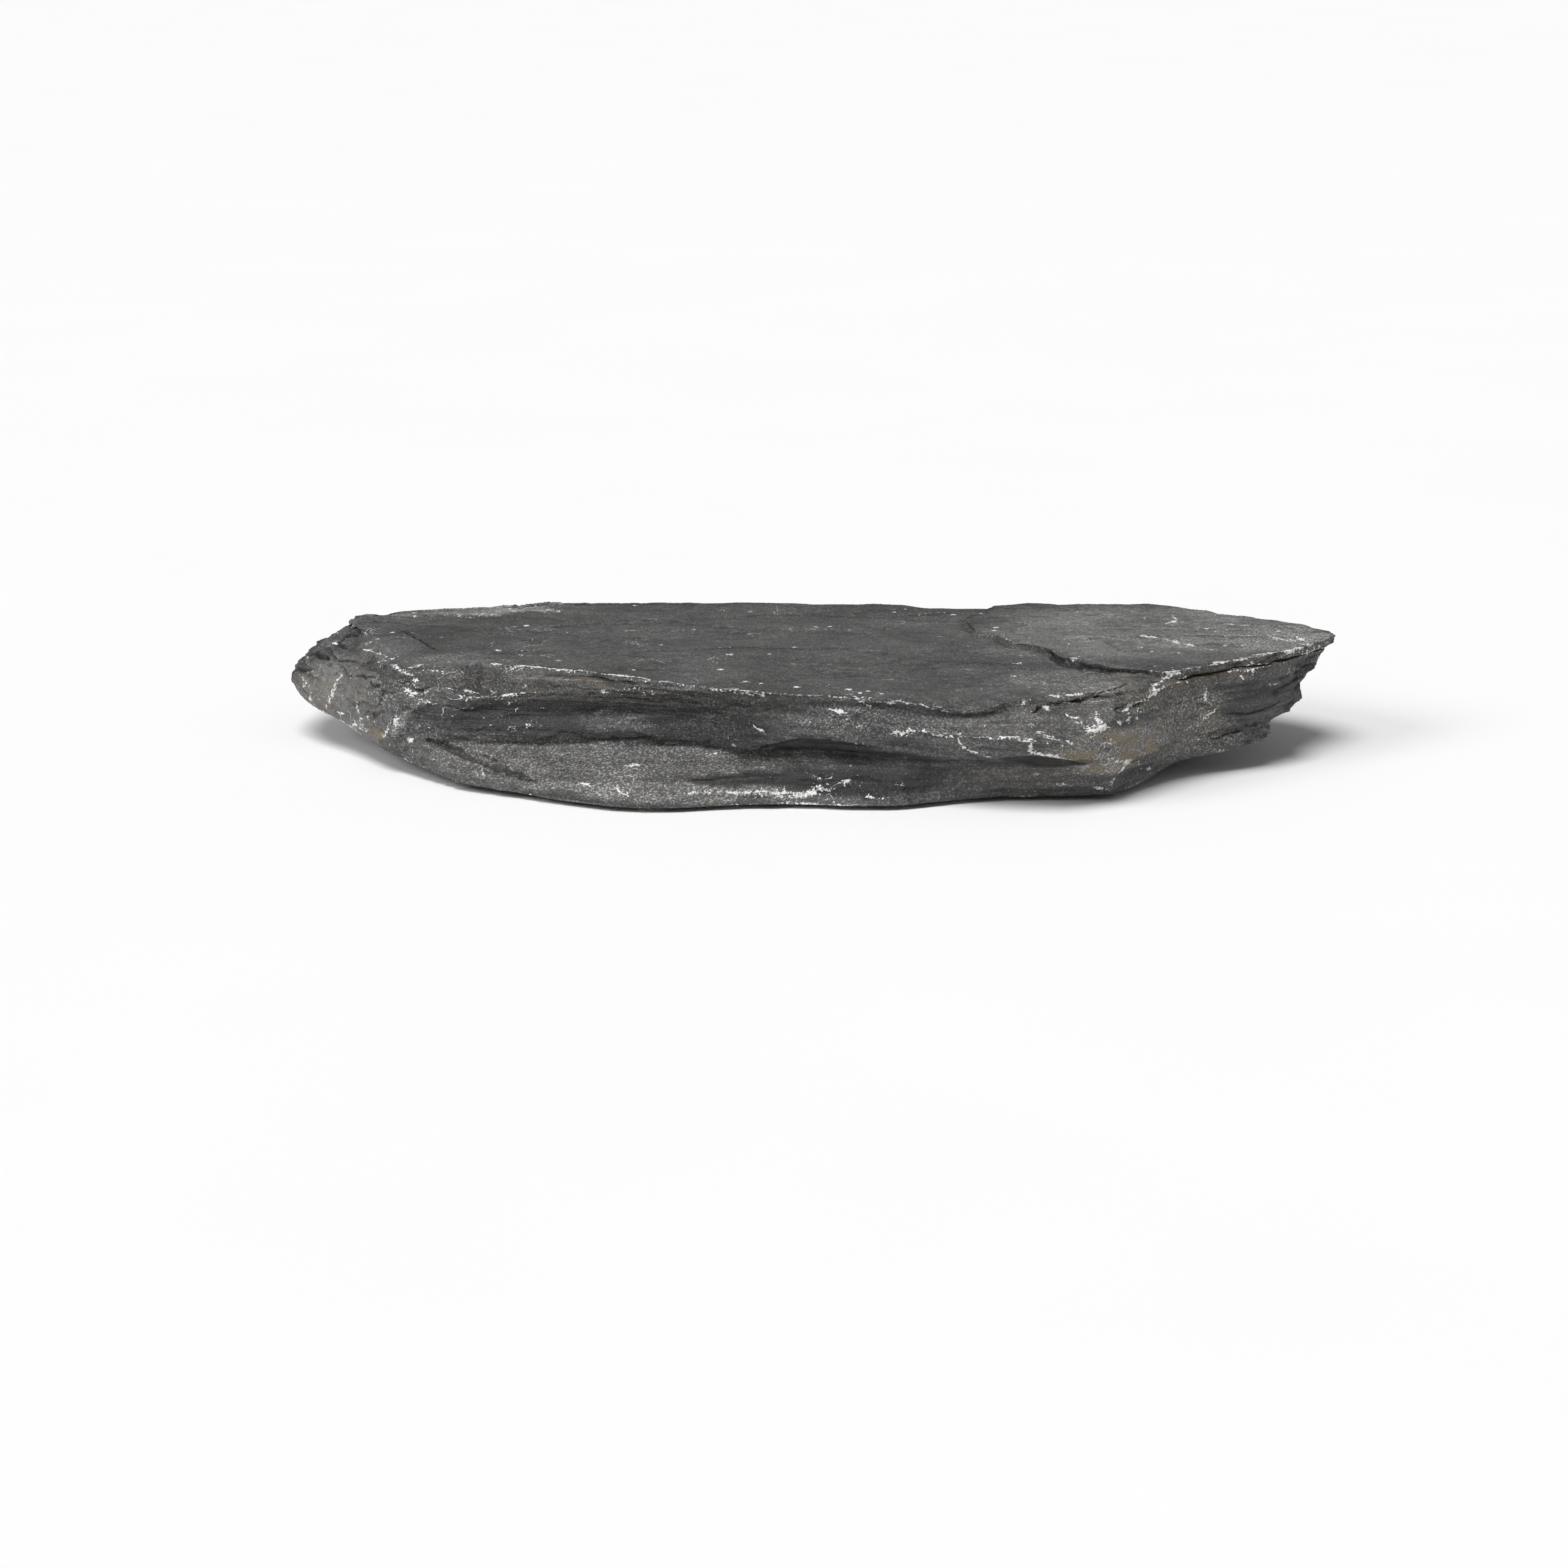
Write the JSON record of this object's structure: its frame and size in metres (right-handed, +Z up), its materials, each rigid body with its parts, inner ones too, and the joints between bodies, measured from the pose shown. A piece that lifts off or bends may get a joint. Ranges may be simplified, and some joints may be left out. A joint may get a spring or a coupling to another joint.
{
  "type": "slate rock",
  "caption": "Flat elongated slab of natural slate with a cleaved top, stepped and overhanging broken edges and a flat underside.",
  "frame": {"origin": "on the flat underside, under the middle of the slab's bounding box", "axes": "+X along the slab towards its pointed overhanging end, -Y towards the broken long side that the picture shows, +Z up"},
  "size_m": [0.2222, 0.0978, 0.024],
  "materials": {
    "slate": "matt, cleaved and broken natural surface"
  },
  "bodies": {
    "root": {"slate_slab": "slate"}
  },
  "joints": []
}
